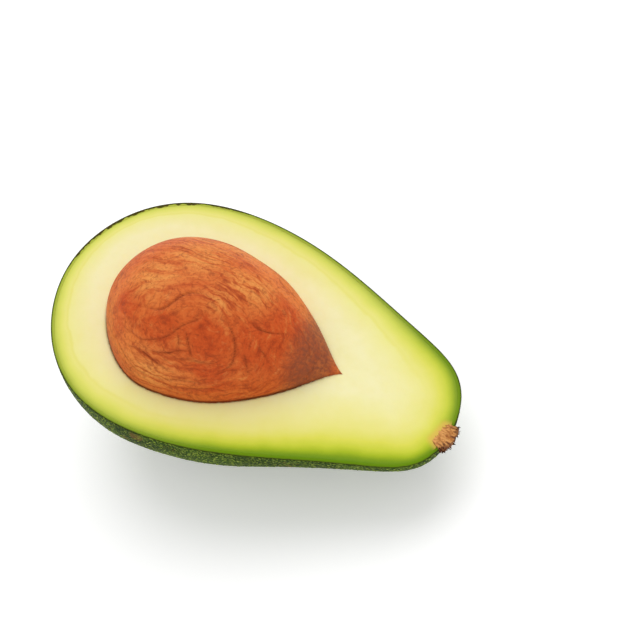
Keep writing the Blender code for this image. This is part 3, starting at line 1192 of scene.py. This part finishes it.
def stone_finish(colours):
    """Mottled orange and red brown, with dark creases and a greyish band before the point."""
    make = Finish(
        "avocado stone",
        Roughness=0.5,
        Specular_IOR_Level=0.09,
        Sheen_Weight=0.06,
        Sheen_Roughness=0.4,
        Sheen_Tint=(*paint(255, 214, 190), 1.0),
    )
    wrinkle, beside = wrinkle_lines(make, make.place, colours.wrinkle_spacing)
    patches = make.noise(beside, 0.0085, detail=4.0, roughness=0.6)
    streaks = make.noise(beside, 0.0013, detail=4.0, roughness=0.65)
    fine = make.noise(make.place, 0.0008, detail=3.0, roughness=0.6)
    zones = make.times(make.value("red"), 0.8)
    redness = make.plus(make.step(patches, 0.42, 0.60, 0.7, 0.0), zones)
    paleness = make.plus(0.06, make.times(make.value("pale"), 0.74))
    paleness = make.times(paleness, make.step(streaks, 0.36, 0.60, 0.15, 1.0))
    veins = make.noise(make.place, 0.0024, detail=5.0, roughness=0.75, distortion=1.2)
    tip = make.times(make.value("pointed"), make.step(fine, 0.3, 0.7, 0.95, 0.55))
    wander = make.times(make.minus(fine, 0.5), 0.00030)
    gap = make.plus(make.value("crease_gap"), wander)
    crease = make.times(along_creases(make, gap, 0.00002, 0.00024), make.step(veins, 0.30, 0.55, 0.45, 1.0))
    dark = make.math("MAXIMUM", crease, make.times(wrinkle, 0.38))
    # painted shade, partly the stone's own darker brown: a ragged dark line where the stone meets the flesh
    # on its -Y side
    low = make.times(make.value("low"), make.step(streaks, 0.35, 0.55, 0.6, 1.0))
    base = make.covered(
        make.mix(redness, colours.orange, colours.red),
        (paleness, colours.pale),
        (make.step(streaks, 0.28, 0.50, 0.65, 0.0), paint(158, 60, 28)),
        (make.step(streaks, 0.56, 0.74, 0.0, 0.34), colours.pale),
        (make.step(veins, 0.34, 0.50, 0.55, 0.0), paint(150, 62, 30)),
        (make.step(veins, 0.54, 0.74, 0.0, 0.32), paint(244, 162, 92)),
        (make.step(fine, 0.30, 0.55, 0.35, 0.0), paint(150, 56, 26)),
        (tip, colours.tip),
        (along_creases(make, gap, 0.0001, 0.0007, 0.38), paint(150, 66, 30)),
        (make.times(dark, 0.72), colours.crease),
        # painted shade along the stone's contact with the flesh, partly its darker brown
        (low, paint(96, 50, 16)),
    )
    make.set(Base_Color=base)
    make.bump(fine, 0.00005, 0.8)
    make.bump(streaks, 0.00012, 0.6)
    make.bump(wrinkle, -0.00006, 0.7)
    return make.material


class AVOCADO_OT_stone(bpy.types.Operator):
    """Make the stone with its creases, wrinkles and mottled colours"""

    bl_idname = "avocado.stone"
    bl_label = "Stone"

    def execute(self, context):
        settings = context.scene.avocado_stone
        data = ball_mesh("avocado_stone", SEED_SQUARES)
        along, turn = ball_angles(data, upwards=True)
        points = seed_surface(along, turn)
        set_coordinates(data, points)
        gap, strength = crease_gaps(points)
        place = -SEED_LENGTH / 2 * np.cos(along)
        band = smooth_step(place, 0.0165, 0.0225) * (1 - 0.65 * smooth_step(place, 0.0265, 0.030))
        # a band just over the cut on the -Y side, where the stone meets the flesh: painted shade there,
        # partly the stone's darker brown
        edge = np.exp(-(((points[:, 2] - 0.0001) / 0.00045) ** 2)) * lower_side(points)
        set_values(
            data,
            crease_gap=gap,
            crease_strength=strength,
            flow=flow_values(along, turn),
            red=zone_values(points, RED_ZONES),
            pale=zone_values(points, PALE_ZONES),
            pointed=band,
            low=0.85 * edge,
            free=smooth_step(np.abs(points[:, 2]), 0.0, 0.0016),
        )
        piece = new_object("avocado_stone", data)
        finish = stone_finish(settings)
        shape_stone(piece, settings, finish)
        finish_piece(piece, finish, "seed")
        return {"FINISHED"}


# Stem stub

def stub_finish(colours):
    """Fibrous cut wood, darker towards the bark."""
    make = Finish("stub wood", Roughness=0.8, Specular_IOR_Level=0.2)
    fibres = make.noise(make.scaled(make.place, (0.35, 1.0, 1.0)), 0.0007, detail=4.0, roughness=0.7)
    blots = make.noise(make.place, 0.0011, detail=3.0, roughness=0.6)
    base = make.covered(
        make.mix(make.step(fibres, 0.34, 0.56), paint(176, 110, 54), colours.wood),
        (make.step(fibres, 0.58, 0.72, 0.0, 0.7), paint(244, 196, 130)),
        (make.step(blots, 0.34, 0.52, 0.75, 0.0), paint(146, 78, 38)),
        (make.times(make.value("bark"), make.step(blots, 0.45, 0.65, 1.0, 0.6)), colours.bark),
    )
    make.set(Base_Color=base)
    make.bump(fibres, 0.0002, 0.9)
    return make.material


def bark_finish(colours):
    """Dark dry bark."""
    make = Finish("stub bark", Roughness=0.85, Specular_IOR_Level=0.15)
    patches = make.noise(make.place, 0.0009, detail=3.0)
    make.set(Base_Color=make.mix(make.step(patches, 0.35, 0.65), paint(48, 26, 12), colours.bark))
    make.bump(patches, 0.0001, 0.8)
    return make.material


def stub_directions():
    """Inner end, length, direction and sideways direction of the stub, in the cut plane."""
    inner, outer = Vector((*STUB_INNER_END, 0)), Vector((*STUB_OUTER_END, 0))
    axis = (outer - inner).normalized()
    return inner, (outer - inner).length, axis, Vector((-axis.y, axis.x, 0))


def scatter_splinters(settings, base, material):
    """Small tapered bits of bark over the stub's outer end."""
    piece = new_object("stub_bark", base)
    shaper = Shaper("bark splinters", splinters=settings.splinters, splinter_length=SPLINTER_LENGTH, seed=11)
    density = shaper.times(shaper.sockets["splinters"], 1.0e6)
    seed = shaper.sockets["seed"]
    inputs = {"Mesh": shaper.geometry, "Density": shaper.times(shaper.value("outer"), density), "Seed": seed}
    scatter = shaper.add("GeometryNodeDistributePointsOnFaces", inputs, distribute_method="RANDOM")
    cone_inputs = {"Vertices": 5, "Radius Top": 0.05, "Radius Bottom": 0.24, "Depth": 1.0}
    splinter = shaper.add("GeometryNodeMeshCone", cone_inputs).outputs[0]
    inputs = {0: LEAST_TILT, 1: MOST_TILT, "Seed": seed}
    tilt = shaper.add("FunctionNodeRandomValue", inputs, data_type="FLOAT_VECTOR")
    turned = shaper.add(
        "FunctionNodeRotateRotation",
        {0: scatter.outputs["Rotation"], 1: tilt.outputs[0]},
        rotation_space="LOCAL",
    )
    scale = shaper.times(shaper.random(LEAST_SPLINTER, 1.0), shaper.sockets["splinter_length"])
    shaper.apply(piece, shaper.placed(scatter, splinter, turned.outputs[0], scale), material)
    return piece


class AVOCADO_OT_stub(bpy.types.Operator):
    """Make the halved stub of the stem and the bits of bark on it"""

    bl_idname = "avocado.stub"
    bl_label = "Stem Stub"

    def execute(self, context):
        settings = context.scene.avocado_stub
        data = mesh_data("stem_stub", divided_cube(STUB_SQUARES))
        square = coordinates(data)
        share = (square[:, 0] + 1) / 2
        across, below = square[:, 1], (square[:, 2] - 1) / 2
        wide = across * np.sqrt(1 - below ** 2 / 2)
        deep = below * np.sqrt(1 - across ** 2 / 2)
        inner, length, axis, side = stub_directions()
        radius = STUB_INNER_RADIUS + (STUB_OUTER_RADIUS - STUB_INNER_RADIUS) * share
        turn = np.arctan2(deep, wide)
        edge = np.hypot(wide, deep)
        lobes = 1 + 0.05 * np.sin(3 * turn + 0.8) + 0.04 * np.sin(8 * turn)
        lobes += 0.04 * np.sin(15 * turn + 9 * share)
        spots = np.stack([share, wide, deep], axis=1)
        torn = noise_at(spots * (9, 2.5, 2.5))
        reach = radius * (1 - 0.05 * share - 0.15 * share ** 4) * (1 + (lobes - 1 + 0.10 * torn) * edge)
        ragged = noise_at(np.stack([4 * wide, 4 * deep, np.full_like(wide, 0.3)], axis=1))
        along = share * length * 0.95 + share ** 3 * (0.0004 * ragged - 0.0011 * edge ** 2)
        fibres = noise_at(spots * (2, 9, 9))
        on_cut = below > -1e-4
        lift = settings.fibre_height * fibres * np.where(on_cut, 1.0, edge)
        place = np.array(inner) + along[:, None] * np.array(axis) + (wide * reach)[:, None] * np.array(side)
        risen = 0.0004 * smooth_step(share, 0.12, 0.62) - 0.00024
        place[:, 2] += deep * (reach + lift) + (1 + below) * risen + np.where(on_cut, lift, 0)
        set_coordinates(data, place)
        bark = smooth_step(share + 0.30 * np.abs(wide) + 0.45 * fibres, 0.90, 1.12)
        set_values(
            data,
            bark=np.where(on_cut, bark, np.maximum(bark, 0.9)),
            outer=smooth_step(share, 0.82, 0.96) * smooth_step(edge, 0.55, 0.95),
        )
        dry = bark_finish(settings)
        splinters = scatter_splinters(settings, data.copy(), dry)
        finish_piece(new_object("stem_stub_wood", data), stub_finish(settings), "stem_stub")
        finish_piece(splinters, dry, None)
        return {"FINISHED"}


# Stage

def aim(made, back, right):
    """Turn a camera or a light to look along -back, with right to its right."""
    up = back.cross(right)
    turned = Matrix((right, up, back)).transposed()
    made.rotation_euler = turned.to_euler()


def add_sun(name, strength, softness, towards):
    """A sun that shines from the given direction; softness is its width in degrees."""
    lamp = bpy.data.lights.new(name, "SUN")
    lamp.energy = strength
    lamp.angle = math.radians(softness)
    back = towards.normalized()
    aim(new_object(name, lamp), back, Vector((0, 0, 1)).cross(back).normalized())


def add_camera():
    """The camera at its place in the fruit's frame, laid down with the fruit."""
    data = bpy.data.cameras.new("camera")
    data.lens = CAMERA_LENS
    data.sensor_width = 36
    data.clip_start = 0.01
    flat = math.cos(CAMERA_ELEVATION)
    sideways, forwards = math.sin(CAMERA_AZIMUTH), math.cos(CAMERA_AZIMUTH)
    back = Vector((sideways * flat, -forwards * flat, math.sin(CAMERA_ELEVATION)))
    level = Vector((forwards, sideways, 0))
    upright = back.cross(level)
    right = math.cos(CAMERA_ROLL) * level + math.sin(CAMERA_ROLL) * upright
    up = math.cos(CAMERA_ROLL) * upright - math.sin(CAMERA_ROLL) * level
    place = CAMERA_ASIDE[0] * right + CAMERA_ASIDE[1] * up + CAMERA_DISTANCE * back
    camera = new_object("camera", data)
    camera.location = LAID_DOWN @ place
    turned = LAID_DOWN.to_3x3()
    aim(camera, turned @ back, turned @ right)
    return camera


class AVOCADO_OT_stage(bpy.types.Operator):
    """Make the floor, the soft light and the camera"""

    bl_idname = "avocado.stage"
    bl_label = "Stage"

    def execute(self, context):
        settings = context.scene.avocado_stage
        scene = context.scene
        scene.view_settings.view_transform = "Standard"
        scene.view_settings.look = "None"

        mesh = bmesh.new()
        bmesh.ops.create_grid(mesh, x_segments=1, y_segments=1, size=FLOOR_SIZE)
        floor = new_object("floor", mesh_data("floor", mesh))
        make = Finish("pale floor", Roughness=0.9, Specular_IOR_Level=0.1)
        tone = make.noise(make.place, 0.25, detail=2.0)
        colour = make.mix(tone, settings.floor, paint(250, 250, 250))
        make.set(Base_Color=colour, Emission_Color=colour, Emission_Strength=settings.glow)
        floor.data.materials.append(make.material)

        world = bpy.data.worlds.new("soft studio")
        world.use_nodes = True
        background = world.node_tree.nodes["Background"]
        background.inputs["Color"].default_value = (1.0, 1.0, 1.0, 1.0)
        background.inputs["Strength"].default_value = settings.sky
        scene.world = world

        add_sun("key", settings.key, KEY_WIDTH, Vector(KEY_DIRECTION))
        add_sun("fill", settings.fill, FILL_WIDTH, Vector(FILL_DIRECTION))
        scene.camera = add_camera()
        return {"FINISHED"}


class AVOCADO_PT_panel(bpy.types.Panel):
    """Sizes and colours of the avocado half"""

    bl_idname = "AVOCADO_PT_panel"
    bl_label = "Avocado Half"
    bl_space_type = "VIEW_3D"
    bl_region_type = "UI"
    bl_category = "Avocado"

    def draw(self, context):
        for operator, group, name in SECTIONS:
            box = self.layout.box()
            box.operator(operator.bl_idname)
            for size_or_colour in group.__annotations__:
                box.prop(getattr(context.scene, name), size_or_colour)


# Each operator with its settings and the name under which a scene holds them
SECTIONS = (
    (AVOCADO_OT_stage, AvocadoStageSettings, "avocado_stage"),
    (AVOCADO_OT_skin, AvocadoSkinSettings, "avocado_skin"),
    (AVOCADO_OT_flesh, AvocadoFleshSettings, "avocado_flesh"),
    (AVOCADO_OT_stone, AvocadoStoneSettings, "avocado_stone"),
    (AVOCADO_OT_stub, AvocadoStubSettings, "avocado_stub"),
)


def register():
    for operator, group, name in SECTIONS:
        bpy.utils.register_class(group)
        setattr(bpy.types.Scene, name, PointerProperty(type=group))
        bpy.utils.register_class(operator)
    bpy.utils.register_class(AVOCADO_PT_panel)


def unregister():
    bpy.utils.unregister_class(AVOCADO_PT_panel)
    for operator, group, name in reversed(SECTIONS):
        bpy.utils.unregister_class(operator)
        delattr(bpy.types.Scene, name)
        bpy.utils.unregister_class(group)


def main():
    register()
    bpy.ops.avocado.stage()
    bpy.ops.avocado.skin()
    bpy.ops.avocado.flesh()
    bpy.ops.avocado.stone()
    bpy.ops.avocado.stub()


if __name__ == "__main__":
    main()
